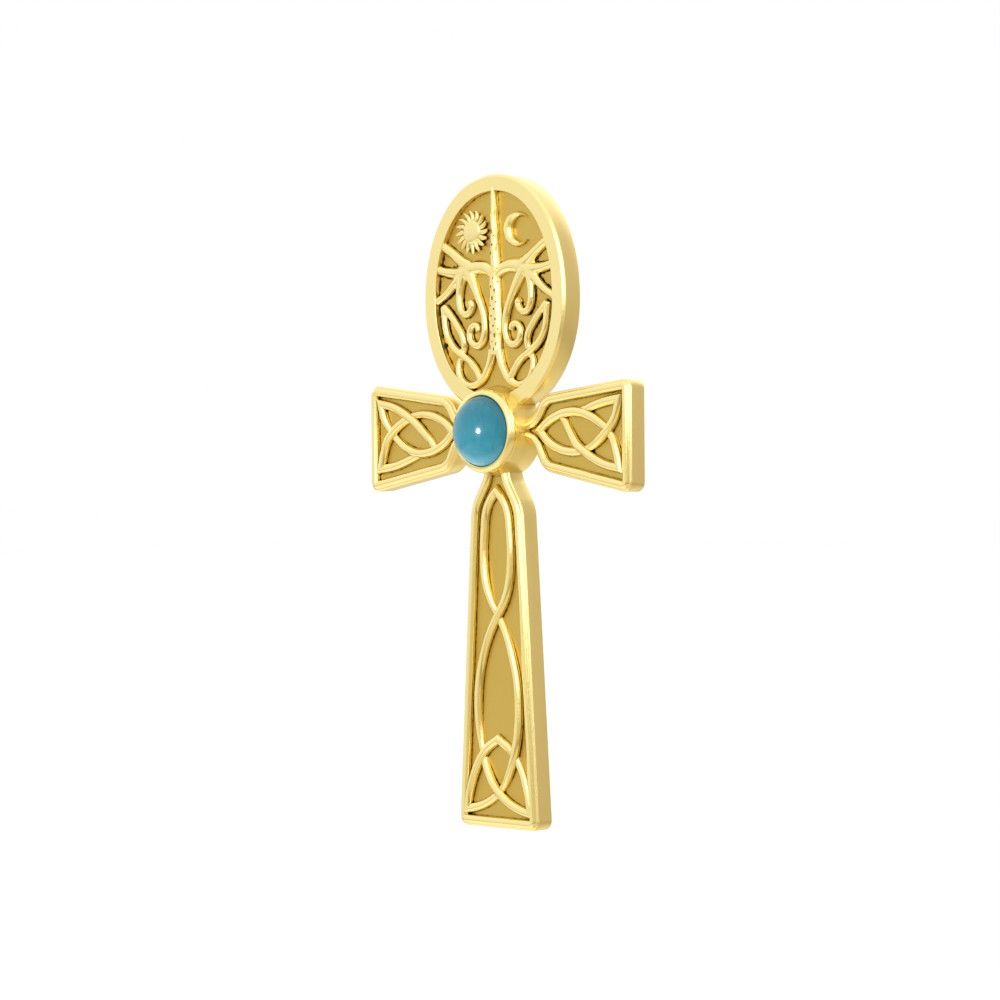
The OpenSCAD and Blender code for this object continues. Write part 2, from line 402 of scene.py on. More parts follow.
def gold(name, rough, colour=goldLook["colour"], grain=1.0, bump=1.0, deep=0.3, specks=None):
    look = goldLook
    material, nodeTree, shader, where = newMaterial(name)
    shader["Metallic"].default_value = 1
    # Fine polishing marks
    fine = cloud(nodeTree, where, look["grain"] * grain, 4, 0.6)
    least = max(rough - look["roughSpread"], look["roughLeast"])
    feed(nodeTree, shader["Roughness"], spread(nodeTree, fine, 0, 1, least, rough + look["roughSpread"]))
    relief = node(
        nodeTree, "ShaderNodeBump", Strength=look["bumpStrength"], Distance=look["bump"] * mm * bump
    )
    feed(nodeTree, relief.inputs["Height"], fine)
    feed(nodeTree, shader["Normal"], relief.outputs["Normal"])
    # Slow change of colour over the casting
    drifted = (*(c * d for c, d in zip(colour, look["drift"])), 1)
    mixed = blend(nodeTree, cloud(nodeTree, where, look["driftScale"], 2), colour, drifted)
    # Painted shade: the colour darkens in corners and crevices, found by ambient occlusion
    corner = node(nodeTree, "ShaderNodeAmbientOcclusion", samples=8, Distance=look["crevice"]).outputs["AO"]
    depth = spread(nodeTree, corner, look["creviceFrom"], look["creviceTo"], deep, 0)
    mixed = blend(nodeTree, depth, mixed, look["paintedShade"])
    if specks is not None:
        mixed = shadeSpecked(nodeTree, where, corner, mixed, specks)
    feed(nodeTree, shader["Base Color"], mixed)
    return material


polishedGold = gold("polished gold", 0.14, deep=0.75)
rimGold = gold("rim gold", 0.22, grain=1.4)
# The upright walls are rougher, and their gold a little darker: painted shade on the walls
wallGold = gold("wall gold", 0.36, colour=(0.93, 0.77, 0.35, 1))
# The sunken floors have a satin finish, and a gold much darker and deeper than the rest: painted shade of
# the recessed floors
satinGold = gold(
    "satin floor gold", 0.4, colour=(0.67, 0.475, 0.118, 1), grain=1.6, bump=2.2, deep=0.9, specks=0.01
)
barkGold = gold("bark gold", 0.26, grain=0.8, bump=2, deep=0.95)
print("materials made")

# Oval head
head = {
    "halfWidth": 6.8, "middle": 9.3, "rise": 8.7, "drop": 8.0, "fullness": 2.08, "rim": 1.15, "edge": 0.05,
    "chamfer": 0.17, "steps": 120,
}


def headFace():
    bm = bmesh.new()
    bmesh.ops.create_circle(bm, cap_ends=True, segments=head["steps"], radius=1)
    power = 2 / head["fullness"]
    for v in bm.verts:
        x, y = v.co.xy
        v.co.x = head["halfWidth"] * abs(x) ** power * (1 if x > 0 else -1)
        reach = head["rise"] if y > 0 else head["drop"]
        v.co.y = head["middle"] + reach * abs(y) ** power * (1 if y > 0 else -1)
    return bm


# Arms and leg
arm = {
    "reach": 12.6, "endUp": 3.5, "endDown": 4.4, "shoulder": 4.5, "shoulderUp": 2.5, "shoulderDown": 2.8,
    "neck": 0.8, "neckAt": 3.44, "corner": 0.7, "bend": 1.5, "hollow": 1.0, "root": 1.0,
}
leg = {
    "length": 27.9, "footHalf": 3.82, "shoulder": 5.3, "shoulderHalf": 2.5, "neck": 1.2, "neckAt": 3.15,
    "corner": 0.7, "bend": 2.6, "hollow": 1.8, "root": 1.0,
}


def armFace(side):
    corners = [
        (arm["root"], arm["neck"], 0), (arm["neckAt"], arm["neck"], arm["hollow"]),
        (arm["shoulder"], arm["shoulderUp"], arm["bend"]), (arm["reach"], arm["endUp"], arm["corner"]),
        (arm["reach"], -arm["endDown"], arm["corner"]),
        (arm["shoulder"], -arm["shoulderDown"], arm["bend"]),
        (arm["neckAt"], -arm["neck"], arm["hollow"]), (arm["root"], -arm["neck"], 0),
    ]
    return roundedFace([(side * x, y, r) for x, y, r in corners], 0)


def legFace():
    right = [
        (leg["neck"], -leg["root"], 0), (leg["neck"], -leg["neckAt"], leg["hollow"]),
        (leg["shoulderHalf"], -leg["shoulder"], leg["bend"]),
        (leg["footHalf"], -leg["length"], leg["corner"]),
    ]
    return roundedFace(right + [(-x, y, r) for x, y, r in reversed(right)], 0)


# Hub and bezel
setting = {
    "stoneRadius": (stoneHigh.x - stoneLow.x) / 2 / mm, "gap": 0.04, "wall": 0.43, "flare": 0.18,
    "girdle": 0.85, "lipRise": 0.45, "dome": 2.0, "stoneBevel": 0.05, "steps": 128,
    "crestOut": 0.09, "crestFall": 1.6, "lipGap": 0.03, "flankAcross": 0.42, "flankDown": 0.6,
    "footHigh": 0.1, "taper": 0.03, "taperHigh": 0.25, "lead": 0.02, "leadDown": 0.15,
}
setting["bore"] = setting["stoneRadius"] + setting["gap"]
setting["outer"] = setting["bore"] + setting["wall"]
setting["hub"] = setting["outer"] + setting["flare"]
setting["seat"] = body["crest"]
setting["girdleTop"] = setting["seat"] + setting["girdle"]
setting["lip"] = setting["girdleTop"] + setting["lipRise"]
# The stone's own radius at the height of the lip
stoneAtLip = setting["stoneRadius"] * sqrt(1 - (setting["lipRise"] / setting["dome"]) ** 2)
setting["lipBore"] = stoneAtLip + setting["lipGap"]


def turned(profile, steps):
    bm = bmesh.new()
    verts = [bm.verts.new((r, 0, z)) for r, z in profile]
    edges = [bm.edges.new(pair) for pair in zip(verts, verts[1:])]
    bmesh.ops.spin(
        bm, geom=verts + edges, cent=(0, 0, 0), axis=(0, 0, 1), angle=2 * pi, steps=steps, use_merge=True
    )
    closeUp(bm)
    return bm


def hubAndBezel():
    s = setting
    crest = s["lipBore"] + s["crestOut"]
    # Quarter round from the wall up to the crest, and a small one down to the stone
    flank = [
        (crest + s["flankAcross"] * cos(a), s["lip"] - s["flankDown"] * (1 - sin(a)))
        for a in (radians(10 * i) for i in range(10))
    ]
    inside = [
        (crest - s["crestOut"] * sin(a), s["lip"] - s["crestOut"] * s["crestFall"] * (1 - cos(a)))
        for a in (radians(30 * i) for i in range(1, 4))
    ]
    profile = [
        (0, 0), (s["hub"] - body["backBevel"], 0), (s["hub"], body["backBevel"]),
        (s["hub"], body["floor"] + s["footHigh"]), (s["hub"] - s["taper"], body["floor"] + s["taperHigh"]),
        (s["outer"] + s["lead"], flank[0][1] - s["leadDown"]), *flank, *inside,
        (s["bore"], s["girdleTop"]), (s["bore"], s["seat"]), (0, s["seat"]),
    ]
    return turned(profile, s["steps"])


def castBody():
    parts = [
        sunkenSlab(headFace(), body["crest"], head["edge"], head["rim"], head["edge"], head["chamfer"]),
        sunkenSlab(armFace(1), body["curb"], body["curbRound"], body["curbWidth"], 0),
        sunkenSlab(armFace(-1), body["curb"], body["curbRound"], body["curbWidth"], 0),
        sunkenSlab(legFace(), body["curb"], body["curbRound"], body["curbWidth"], 0),
        hubAndBezel(),
    ]
    objects = [newObject(f"slab{i}", toMesh(bm, "slab")) for i, bm in enumerate(parts)]
    first = objects[0]
    for other in objects[1:]:
        addBoolean(first, other, "UNION")
    mesh = evaluatedMesh(first, "castBody")
    for other in objects[1:]:
        bpy.data.objects.remove(other)
    bm = bmesh.new()
    bm.from_mesh(mesh)
    bmesh.ops.remove_doubles(bm, verts=bm.verts[:], dist=weld)
    bmesh.ops.dissolve_degenerate(bm, edges=bm.edges[:], dist=weld)
    # Upright walls, up to the foot of the bezel's rounded flank
    bm.normal_update()
    flankFoot = setting["lip"] - setting["flankDown"] + 0.01
    materials = [rimGold, satinGold, wallGold]
    for face in bm.faces:
        if face.calc_center_median().z < flankFoot and abs(face.normal.z) < 0.5:
            face.material_index = materials.index(wallGold)
    return finishPiece(bm, "castBody", materials, "ankh_body", 30, crispFlats=True)


castBody()
print("cast body made")


# Border wires round the arms and the leg
def borderWires():
    parts = []
    for face in (armFace(1), armFace(-1), legFace()):
        ring = insetRing(face, body["wireInset"])
        face.free()
        # Starts and ends inside the hub
        count = len(ring)
        start = min(range(count), key=lambda i: ring[i].xy.length)
        if ring[(start + 1) % count].xy.length < ring[start - 1].xy.length:
            start += 1
        order = [ring[(start + i) % count] for i in range(count)]
        line = [(p.x, p.y, body["crest"], 1) for p in order]
        parts.append(strand(line, body["wireRadius"], smooth=False))
    bm = joined(parts)
    return finishPiece(bm, "borderWires", [polishedGold], "ankh_body", 60)


borderWires()
print("border wires made")

# Knots. Their points are shares: along the arm's reach, and across in halves of its end. The lifts say
# how far a strand is raised over (1) or pushed under (-1) where it crosses another.
knot = {"radius": 0.33, "over": 0.07, "under": 0.17, "overrun": 1.2, "low": 0.07}
armInner = (0.333, 0.065)
armUpperTip = (0.915, 0.60)
armLowerTip = (0.915, -0.60)
armUpper = [
    armInner, (0.39, 0.215), (0.46, 0.325), (0.54, 0.385), (0.62, 0.385), (0.70, 0.315), (0.762, 0.205),
    (0.817, 0.07), (0.861, -0.08), (0.888, -0.26), (0.903, -0.42), armLowerTip,
]
armLower = [
    armInner, (0.39, -0.11), (0.46, -0.235), (0.54, -0.305), (0.62, -0.305), (0.70, -0.23), (0.762, -0.125),
    (0.817, 0.015), (0.861, 0.16), (0.888, 0.32), (0.903, 0.46), armUpperTip,
]
armBight = [
    armUpperTip, (0.865, 0.58), (0.794, 0.54), (0.722, 0.48), (0.658, 0.425), (0.60, 0.39), (0.55, 0.375),
    (0.497, 0.33), (0.52, 0.20), (0.563, 0), (0.611, -0.185), (0.667, -0.31), (0.73, -0.425), (0.81, -0.53),
    armLowerTip,
]
# The left arm's bight bends under the lower strand instead
armBightLeft = [
    armLowerTip, (0.865, -0.58), (0.794, -0.54), (0.718, -0.465), (0.652, -0.385), (0.60, -0.325),
    (0.55, -0.30), (0.495, -0.26), (0.51, -0.13), (0.56, 0.03), (0.611, 0.185), (0.667, 0.31),
    (0.73, 0.425), (0.81, 0.53), armUpperTip,
]
# Over the bight, then under the other strand
liftsOverUnder = [0, 0, 0, 1, 1, 0, -0.6, -1, -0.6, 0, 0, 0]
# Under the bight, then over the other strand
liftsUnderOver = [0, 0, 0, -0.3, -1, -0.5, 0.6, 1, 0.6, 0, 0, 0]
liftsBight = [0, 0, 0, -0.2, -0.8, -1, -1, -1, -0.8, 0, 0.7, 1, 0.5, 0, 0]


def lifted(lift):
    return body["crest"] + (knot["over"] if lift > 0 else knot["under"]) * lift


# A strand that meets a partner in a point at each end; both partners run towards that point
def pointedStrand(points, startPartner, endPartner):
    line, endWay = runOn(list(points), knot["overrun"])
    line, startWay = runOn(line[::-1], knot["overrun"])
    bm = strand(line, knot["radius"])
    for tip, way, partner in ((points[-1], endWay, endPartner), (points[0], startWay, startPartner)):
        mitre(bm, tip[:2], way, runOn(partner, 1)[1], 2 * knot["overrun"])
    closeUp(bm)
    return bm


def armKnot(side):
    half = (arm["endUp"] + arm["endDown"]) / 2

    def placed(shares, lifts):
        return [
            (side * x * arm["reach"], (y - knot["low"]) * half, lifted(lift), 1)
            for (x, y), lift in zip(shares, lifts)
        ]

    flip = side < 0
    upper = placed(armUpper, liftsUnderOver if flip else liftsOverUnder)
    lower = placed(armLower, liftsOverUnder if flip else liftsUnderOver)
    bight = placed(armBightLeft if flip else armBight, liftsBight)
    # The right bight runs from the upper tip to the lower one, the left bight the other way
    toLower, toUpper = (bight[::-1], bight) if flip else (bight, bight[::-1])
    first, last = (upper, lower) if flip else (lower, upper)
    parts = [
        pointedStrand(upper, lower[::-1], toLower),
        pointedStrand(lower, upper[::-1], toUpper),
        pointedStrand(bight, first, last),
    ]
    name = "armKnotLeft" if flip else "armKnotRight"
    return finishPiece(joined(parts), name, [polishedGold], "ankh_body", 60)


armKnot(1)
armKnot(-1)

# The leg's points are shares: across, of half the foot, and down, of the leg's length
footTip = (-0.80, 0.958)
legRun = [
    (0, 0.150), (-0.15, 0.172), (-0.26, 0.20), (-0.32, 0.255), (-0.34, 0.32), (-0.30, 0.38), (-0.19, 0.427),
    (0, 0.468), (0.20, 0.513), (0.36, 0.565), (0.47, 0.625), (0.51, 0.69), (0.50, 0.752), (0.42, 0.81),
    (0.27, 0.86), (0.05, 0.903), (-0.22, 0.932), (-0.52, 0.95), footTip,
]
legArch = [footTip, (-0.76, 0.925), (-0.67, 0.888), (-0.51, 0.843), (-0.29, 0.803), (0, 0.776)]
liftsRunUnder = [0, 0, 0, 0, 0, 0, -0.6, -1, -0.6, 0, 0, 0, 0.6, 1, 0, -1, -0.5, 0, 0]
liftsArch = [0, 0, 0.4, 1, 0.6, 0]


def legKnot():
    def placed(shares, lifts, side=1):
        return [
            (side * x * leg["footHalf"], -y * leg["length"], lifted(lift), 1)
            for (x, y), lift in zip(shares, lifts)
        ]

    goingRight = placed(legRun, liftsRunUnder)
    goingLeft = placed(legRun, [-lift for lift in liftsRunUnder], -1)
    archLeft = placed(legArch, liftsArch)
    archRight = placed(legArch, [-lift for lift in liftsArch], -1)
    parts = [
        pointedStrand(goingRight, goingLeft[::-1], archLeft[::-1]),
        pointedStrand(goingLeft, goingRight[::-1], archRight[::-1]),
        pointedStrand(archLeft, goingRight, archRight),
        pointedStrand(archRight, goingLeft, archLeft),
    ]
    return finishPiece(joined(parts), "legKnot", [polishedGold], "ankh_body", 60)


legKnot()
print("knots made")

# Tree of life. Shares of the floor's half width, and of its reach up or down from the head's middle
tree = {"vine": 0.29, "trunk": 0.64, "voxel": 0.055, "smooth": 4, "sink": 0.02, "footing": 0.12}
leafTip = (0.89, -0.06)
leafOuter = [
    leafTip, (0.875, -0.18), (0.85, -0.31), (0.79, -0.41), (0.70, -0.495), (0.585, -0.56), (0.46, -0.62),
    (0.355, -0.70), (0.28, -0.79), (0.245, -0.85),
]
leafInner = [
    leafTip, (0.76, -0.16), (0.645, -0.27), (0.565, -0.37), (0.54, -0.47), (0.585, -0.56), (0.635, -0.65),
    (0.63, -0.75), (0.56, -0.84), (0.44, -0.885), (0.31, -0.87), (0.215, -0.82), (0.145, -0.735),
    (0.09, -0.64), (0.055, -0.52),
]
bough = [(0, 0.20), (0.10, 0.265), (0.20, 0.295), (0.32, 0.30), (0.44, 0.285), (0.56, 0.25)]
lowerTwig = [(0.54, 0.25), (0.62, 0.21), (0.70, 0.155), (0.83, 0.07), (1.01, -0.01)]
upperTwig = [(0.40, 0.29), (0.56, 0.35), (0.72, 0.435), (0.92, 0.53)]
middleTwig = [(0.54, 0.26), (0.73, 0.26), (0.87, 0.275), (1.01, 0.305)]
smallScroll = [
    (0.57, 0.24), (0.60, 0.14), (0.615, 0.04), (0.605, -0.06), (0.55, -0.135), (0.475, -0.145),
    (0.415, -0.105), (0.395, -0.045), (0.435, -0.02),
]
largeScroll = [
    (0.47, 0.26), (0.38, 0.15), (0.31, 0.05), (0.24, -0.06), (0.195, -0.16), (0.175, -0.27), (0.185, -0.37),
    (0.235, -0.45), (0.315, -0.475), (0.395, -0.445), (0.435, -0.38), (0.425, -0.31), (0.365, -0.265),
    (0.305, -0.275), (0.28, -0.33),
]
# Shape, lifts at its points and thickness at its points (the last value runs on)
treeLines = [
    (leafOuter, [0, 0, 0, 0, 0.5, 1, 0.5, 0, 0], [1, *[0.95] * 7, 0.9, 0.8]),
    (leafInner, [0, 0, 0, 0, -0.3, -1, -0.5, 0, 0], [1, *[0.95] * 9, 1, 1, 1.05, 1.15, 1.3]),
    (bough, [0], [1.2, 1.5, 1.75, 2.0, 2.2, 2.1]),
    (lowerTwig, [0], [1.9, 1.4, 1.15, 1.0, 1.0]),
    (upperTwig, [0], [1.9, 1.6, 1.3, 1.25]),
    (middleTwig, [0], [1.9, 1.4, 1.15, 1.15]),
    (smallScroll, [0], [1.7, 1.25, 1.05, 1.0, 0.95, 0.95, 0.95, 0.9, 0.8]),
    (largeScroll, [0], [1.9, 1.5, 1.15, 1.0, 1.0, 1.0, 1.0, 1.0, 1.0, 0.95, 0.95, 0.9, 0.85, 0.8]),
]
innerHalf = head["halfWidth"] - head["rim"]
innerRise = head["rise"] - head["rim"]
innerDrop = head["drop"] - head["rim"]


def onFloor(x, y):
    return x * innerHalf, head["middle"] + y * (innerRise if y > 0 else innerDrop)


def treeBranches():
    parts = []
    for side in (1, -1):
        for shares, lifts, thick in treeLines:
            points = []
            for i, (x, y) in enumerate(shares):
                across, up = onFloor(side * x, y)
                lift = lifts[min(i, len(lifts) - 1)]
                points.append((across, up, lifted(lift) - tree["sink"], thick[min(i, len(thick) - 1)]))
            bm = strand(points, tree["vine"], resolution=6, sides=4)
            closeUp(bm)
            parts.append(bm)
    obj = newObject("branches", toMesh(joined(parts), "branches"))
    fuse = obj.modifiers.new("fuse", "REMESH")
    fuse.mode = "VOXEL"
    fuse.voxel_size = tree["voxel"]
    ease = obj.modifiers.new("ease", "SMOOTH")
    ease.factor = 0.5
    ease.iterations = tree["smooth"]
    mesh = evaluatedMesh(obj, "branches")
    bm = bmesh.new()
    bm.from_mesh(mesh)
    bmesh.ops.bisect_plane(
        bm, geom=bm.verts[:] + bm.edges[:] + bm.faces[:], plane_co=(0, 0, body["floor"] - tree["footing"]),
        plane_no=(0, 0, -1), clear_outer=True,
    )
    closeUp(bm)
    return finishPiece(bm, "treeBranches", [polishedGold], "ankh_body", 80)


treeBranches()

# Trunk with bark pits. Its rows give how far up, as a share, and its width as a share of the widest.
trunkRows = [
    (-0.575, 0.88), (-0.45, 0.92), (-0.2, 1.0), (0.1, 0.82), (0.3, 0.68), (0.6, 0.52), (1.03, 0.36),
]
trunk = {
    "across": 18, "along": 200, "over": 0.04, "dome": 0.34, "domePower": 2.4, "skirt": 0.1,
    "bark": 0.02, "barkAcross": 1.5, "barkAlong": 2.2, "wander": 0.09, "wanderAlong": 0.9,
    "pits": 34, "pitDepth": 0.08, "pitInset": 0.012, "pitLow": -0.54, "pitHigh": 0.62, "pitThin": 1.15,
    "pitSpread": 0.75, "pitStep": 0.618, "pitHalfWidth": 0.055, "pitHalfHeight": 0.09, "pitRound": 1.3,
    "pitSize": 0.9,
}


def between(rows, t):
    for (a, first), (b, second) in zip(rows, rows[1:]):
        if t <= b:
            return first + (second - first) * (t - a) / (b - a)
    return rows[-1][1]


def trunkWander(up):
    return trunk["wander"] * noise.noise(Vector((0, up * trunk["wanderAlong"], 3)))


# Pits scattered over the bark, fewer towards the top: place across and up, and size
def barkPits():
    places = []
    for i in range(trunk["pits"]):
        along = (i / (trunk["pits"] - 1)) ** trunk["pitThin"]
        share = trunk["pitLow"] + (trunk["pitHigh"] - trunk["pitLow"]) * along
        up = onFloor(0, share)[1]
        half = tree["trunk"] * between(trunkRows, share)
        across = half * trunk["pitSpread"] * (2 * (i * trunk["pitStep"] % 1) - 1) + trunkWander(up)
        size = trunk["pitSize"] * (1 + noise.noise(Vector((i * 3.1, 5, 0))))
        places.append((across, up, size))
    return places


def inPit(face, across, up, size):
    c = face.calc_center_median()
    reach = ((c.x - across) / trunk["pitHalfWidth"]) ** 2 + ((c.y - up) / trunk["pitHalfHeight"]) ** 2
    return reach < trunk["pitRound"] * size ** 2


# Takes the open edge of a raised sheet down below the floor, and closes it
def skirted(bm, gap=weld):
    edge = [e for e in bm.edges if e.is_boundary]
    skirt = bmesh.ops.extrude_edge_only(bm, edges=edge)["geom"]
    for v in onlyVerts(skirt):
        v.co.z = body["floor"] - trunk["skirt"]
    closeUp(bm, gap)


def treeTrunk():
    bm = bmesh.new()
    bmesh.ops.create_grid(bm, x_segments=trunk["across"], y_segments=trunk["along"], size=0.5)
    low, high = trunkRows[0][0], trunkRows[-1][0]
    for v in bm.verts:
        x, t = v.co.x * 2, v.co.y + 0.5
        share = low + (high - low) * t
        up = onFloor(0, share)[1]
        half = tree["trunk"] * between(trunkRows, share)
        grain = Vector((x * trunk["barkAcross"], up * trunk["barkAlong"], 7))
        bark = trunk["bark"] * noise.noise(grain)
        top = body["crest"] + trunk["over"] - trunk["dome"] * abs(x) ** trunk["domePower"] + bark
        v.co = (x * half + trunkWander(up), up, top)
    places = barkPits()
    whole = [f for f in bm.faces if all(len(e.link_faces) == 2 for e in f.edges)]
    pits = [f for f in whole if any(inPit(f, *place) for place in places)]
    bmesh.ops.inset_region(bm, faces=pits, thickness=trunk["pitInset"], depth=0)
    shifted(bm, list(dict.fromkeys(v for f in pits for v in f.verts)), 0, 0, -trunk["pitDepth"])
    skirted(bm)
    return finishPiece(bm, "treeTrunk", [barkGold], "ankh_body", 50)


treeTrunk()
print("tree made")

# Sun and moon
sun = {
    "at": (-0.375, 0.63), "disc": 0.84, "over": 0.03, "edge": 0.55, "steps": 48,
    "rays": 16, "tip": 1.56, "rayRadius": 0.21, "rayDrop": 0.1, "bend": 6,
    # Along a ray: share of its reach, thickness and share of its bend
    "rayShape": ((0.45, 0.9, 0), (0.66, 1.0, -0.3), (0.84, 0.7, 0.4), (1.0, 0.1, 1.0)),
}
moon = {
    "at": (0.385, 0.63), "radius": 1.2, "biteRadius": 0.92, "biteOut": 0.42, "steps": 64, "rows": 8,
    "ridge": 0.45, "ridgeSlope": 1.5, "edge": 0.65, "rise": 0.25, "riseByWidth": 0.4, "weld": 0.002,
}


def sunDisc():
    cx, cy = onFloor(*sun["at"])
    low, top = body["floor"], body["crest"] + sun["over"]
    dome = [
        (sun["disc"] * sin(a), low + (top - low) * (sun["edge"] + (1 - sun["edge"]) * cos(a)))
        for a in (radians(9 * i) for i in range(11))
    ]
    foot = low - trunk["skirt"]
    parts = [turned([*dome, (sun["disc"], foot), (0, foot)], sun["steps"])]
    for i in range(sun["rays"]):
        a = 2 * pi * i / sun["rays"]
        line = []
        for share, thick, turn in sun["rayShape"]:
            b = a + radians(sun["bend"]) * turn
            r = share * sun["tip"]
            line.append((r * cos(b), r * sin(b), body["crest"] - sun["rayDrop"], thick))
        parts.append(strand(line, sun["rayRadius"], resolution=4, sides=3))
    bm = joined(parts)
    shifted(bm, bm.verts[:], cx, cy, 0)
    return finishPiece(bm, "sunDisc", [barkGold], "ankh_body", 60)


def crescentMoon():
    cx, cy = onFloor(*moon["at"])
    r, b, out = moon["radius"], moon["biteRadius"], moon["biteOut"]
    # Where the two circles cross
    tipX = (r * r - b * b + out * out) / (2 * out)
    tipY = sqrt(r * r - tipX * tipX)
    outerSweep = pi - atan2(tipY, tipX)
    innerSweep = pi - atan2(tipY, tipX - out)
    bm = bmesh.new()
    bmesh.ops.create_grid(bm, x_segments=moon["steps"], y_segments=moon["rows"], size=0.5)
    for v in bm.verts:
        t, s = v.co.x * 2, v.co.y + 0.5
        ao, ai = pi + outerSweep * t, pi + innerSweep * t
        outer = Vector((r * cos(ao), r * sin(ao)))
        inner = Vector((out + b * cos(ai), b * sin(ai)))
        flat = outer.lerp(inner, s)
        width = (outer - inner).length
        ridge = 1 - abs(s - moon["ridge"]) / (moon["ridge"] if s < moon["ridge"] else 1 - moon["ridge"])
        rise = min(body["floorDepth"], moon["rise"] + width * moon["riseByWidth"])
        rise *= moon["edge"] + (1 - moon["edge"]) * min(1, ridge * moon["ridgeSlope"])
        v.co = (flat.x + cx, flat.y + cy, body["floor"] + rise)
    skirted(bm, moon["weld"])
    return finishPiece(bm, "crescentMoon", [rimGold], "ankh_body", 40)


sunDisc()
crescentMoon()
print("sun and moon made")

# Cabochon
stoneLook = {
    "deep": (0.002, 0.16, 0.23, 1), "mid": (0.02, 0.25, 0.34, 1), "pale": (0.19, 0.49, 0.64, 1),
    "rough": 0.3, "ior": 1.5, "shine": 0.3, "polish": 0.6, "polishRough": 0.035, "cloudy": 0.2,
    "scatter": 0.6, "scatterRadius": (0.4, 0.8, 1.0),
    "streaks": 2200, "streakSlim": 0.22, "streakShare": 1.1, "fall": 2.4, "deepAt": 0.55, "midAt": 1.55,
    "crescentFrom": (0.55, 0.36), "crescentIn": 2.05, "crescentOut": 3.1,
}


# Cloudy teal with faint upright streaks and a pale crescent at the lower left
def stoneMaterial():
    look = stoneLook
    material, nodeTree, shader, where = newMaterial("cloudy blue stone")
    for name, value in (
        ("Roughness", look["rough"]), ("IOR", look["ior"]), ("Specular IOR Level", look["shine"]),
        ("Coat Weight", look["polish"]), ("Coat Roughness", look["polishRough"]),
        ("Subsurface Weight", look["cloudy"]), ("Subsurface Radius", look["scatterRadius"]),
        ("Subsurface Scale", look["scatter"] * mm),
    ):
        shader[name].default_value = value
    centred = mapped(nodeTree, where, Location=(0, 0, -stoneUp))
    slim = mapped(nodeTree, centred, Scale=(1, 1, look["streakSlim"]))
    streak = cloud(nodeTree, slim, look["streaks"], 4, 0.6, 0.6)
    fall = spread(nodeTree, separated(nodeTree, centred)["Z"], look["fall"] * mm, -look["fall"] * mm)
    mixed = reckon(nodeTree, "MULTIPLY_ADD", streak, look["streakShare"], fall)
    depth = spread(nodeTree, mixed, look["deepAt"], look["midAt"])
    inner = blend(nodeTree, depth, look["deep"], look["mid"])
    # Distance, seen from the front, from a point up and to the right of the middle
    far = node(nodeTree, "ShaderNodeVectorMath", operation="DISTANCE")
    feed(nodeTree, far.inputs[0], mapped(nodeTree, centred, Scale=(1, 0, 1)))
    x, z = look["crescentFrom"]
    far.inputs[1].default_value = (x * mm, 0, z * mm)
    edge = spread(nodeTree, far.outputs["Value"], look["crescentIn"] * mm, look["crescentOut"] * mm)
    feed(nodeTree, shader["Base Color"], blend(nodeTree, edge, inner, look["pale"]))
    return material


def cabochon():
    s = setting
    dome = [
        (s["stoneRadius"] * cos(a), s["girdleTop"] + s["dome"] * sin(a))
        for a in (radians(3 * i) for i in range(30))
    ]
    bevel = s["stoneBevel"]
    foot = [
        (0, s["seat"]), (s["stoneRadius"] - bevel, s["seat"]), (s["stoneRadius"], s["seat"] + bevel),
    ]
    bm = turned([*foot, *dome, (0, s["girdleTop"] + s["dome"])], s["steps"])
    return finishPiece(bm, "cabochon", [stoneMaterial()], "stone", 50)


cabochon()
print("cabochon made")

# Bail: a tube across the back of the head, on a block
bailPiece = {"bore": 1.0, "wall": 0.45, "foot": 0.75, "bevel": 0.08, "segments": 96}


def rod(name, radius, length):
    bm = bmesh.new()
    bmesh.ops.create_cone(
        bm, cap_ends=True, segments=bailPiece["segments"], radius1=radius, radius2=radius, depth=length
    )
    bmesh.ops.rotate(bm, verts=bm.verts[:], cent=(0, 0, 0), matrix=Matrix.Rotation(pi / 2, 3, "Y"))
    return newObject(name, toMesh(bm, name))


# The foot's flat face lies against the casting's back
def bail():
    outerR = bailPiece["bore"] + bailPiece["wall"]
    length = (bailHigh.x - bailLow.x) / mm
    solid = rod("bailSolid", outerR, length)
    hole = rod("bailHole", bailPiece["bore"], length * 2)
    bm = bmesh.new()
    foot = bmesh.ops.create_cube(bm, size=1)["verts"]
    bmesh.ops.scale(bm, verts=foot, vec=(length, 2 * outerR * bailPiece["foot"], outerR))
    shifted(bm, foot, 0, 0, outerR / 2)
    base = newObject("bailFoot", toMesh(bm, "bailFoot"))
    for other, how in ((base, "UNION"), (hole, "DIFFERENCE")):
        addBoolean(solid, other, how)
    mesh = evaluatedMesh(solid, "bail")
    bpy.data.objects.remove(base)
    bpy.data.objects.remove(hole)
    bm = bmesh.new()
    bm.from_mesh(mesh)
    closeUp(bm)
    sharp = [e for e in bm.edges if len(e.link_faces) == 2 and e.calc_face_angle(0) > radians(40)]
    bevelEdges(bm, sharp, bailPiece["bevel"], 3)
    # The bore's axis stands behind the back, level with the frame's bail
    up = ((bailLow.z + bailHigh.z) / 2 - stoneUp) / mm
    shifted(bm, bm.verts[:], 0, up, -outerR)
    return finishPiece(bm, "bailTube", [polishedGold], "bail", 30)


bail()
print("bail made")

# Camera, from a fit to the photo
cameraFit = {
    "around": radians(43.74), "distance": 222.4 * mm, "eye": -1.97 * mm, "focalPixels": 3170.4,
    "centre": (493.6, 459.2), "roll": radians(0.437), "frame": 1000,
}


